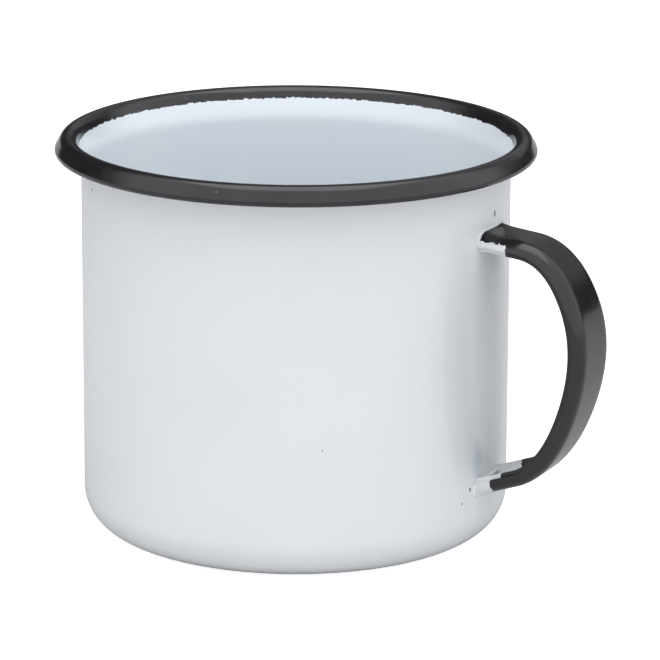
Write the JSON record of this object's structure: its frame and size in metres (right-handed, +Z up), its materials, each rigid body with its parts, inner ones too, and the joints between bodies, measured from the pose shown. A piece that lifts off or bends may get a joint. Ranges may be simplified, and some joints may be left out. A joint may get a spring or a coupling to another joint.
{
  "type": "enamel mug",
  "caption": "Round white enamelled steel drinking mug with a rolled black rim and a black strap handle, for hot or cold drinks.",
  "frame": {"origin": "centre of the flat base, on the cup's axis, at the height the mug rests on", "axes": "+X from the axis through the middle of the handle, +Z up along the cup's axis, +Y completing a right-handed frame"},
  "size_m": [0.1321, 0.1122, 0.0938],
  "materials": {
    "steel_core": "satin",
    "white_enamel": "gloss",
    "black_enamel": "gloss"
  },
  "bodies": {
    "root": {"cup_shell": "steel_core", "white_outer_coat": "white_enamel", "white_inner_coat": "white_enamel", "rim_black_coat": "black_enamel", "handle_strap": "steel_core", "handle_black_coat": "black_enamel", "handle_inner_coat": "white_enamel", "upper_weld": "steel_core", "lower_weld": "steel_core", "upper_foot_fillet": "white_enamel", "lower_foot_fillet": "white_enamel"}
  },
  "joints": []
}
